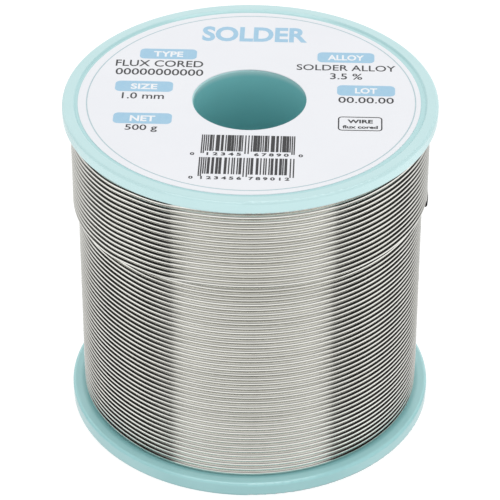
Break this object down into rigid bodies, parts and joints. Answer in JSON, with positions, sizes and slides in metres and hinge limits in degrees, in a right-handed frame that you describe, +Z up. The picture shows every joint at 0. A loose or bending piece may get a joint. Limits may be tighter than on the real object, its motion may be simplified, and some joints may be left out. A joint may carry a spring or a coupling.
{
  "type": "solder wire spool",
  "caption": "Flanged plastic spool with a through bore and a ring label, wound in even layers with flux-cored solder wire whose free end peels off the part-wound top layer.",
  "frame": {"origin": "centre of the base, on the spindle bore's axis, level with the rim it stands on", "axes": "+Z up along the bore; +Y towards the top of the label's wording; -Y is the front"},
  "size_m": [0.066, 0.066, 0.063],
  "materials": {
    "spool_plastic": "satin",
    "label_stock": "satin",
    "solder": "satin",
    "flux": "gloss"
  },
  "bodies": {
    "spool": {"spool_lower_half": "spool_plastic", "spool_upper_half": "spool_plastic", "top_label": "label_stock", "wire_layer_01": "solder", "wire_layer_02": "solder", "wire_layer_03": "solder", "wire_layer_04": "solder", "wire_layer_05": "solder", "wire_layer_06": "solder", "wire_layer_07": "solder", "wire_layer_08": "solder", "wire_layer_09": "solder", "wire_layer_10": "solder", "wire_layer_11": "solder", "wire_layer_12": "solder", "wire_inner_end": "solder"},
    "free_end": {"wire_free_end": "solder", "free_end_flux_core": "flux"}
  },
  "joints": [
    {"name": "free_end_peel", "type": "hinge", "parent": "spool", "child": "free_end", "pos_m": [0.02577, 0.01853, 0.04384], "axis": [0, 0, 1], "range_deg": [0, 80]}
  ]
}
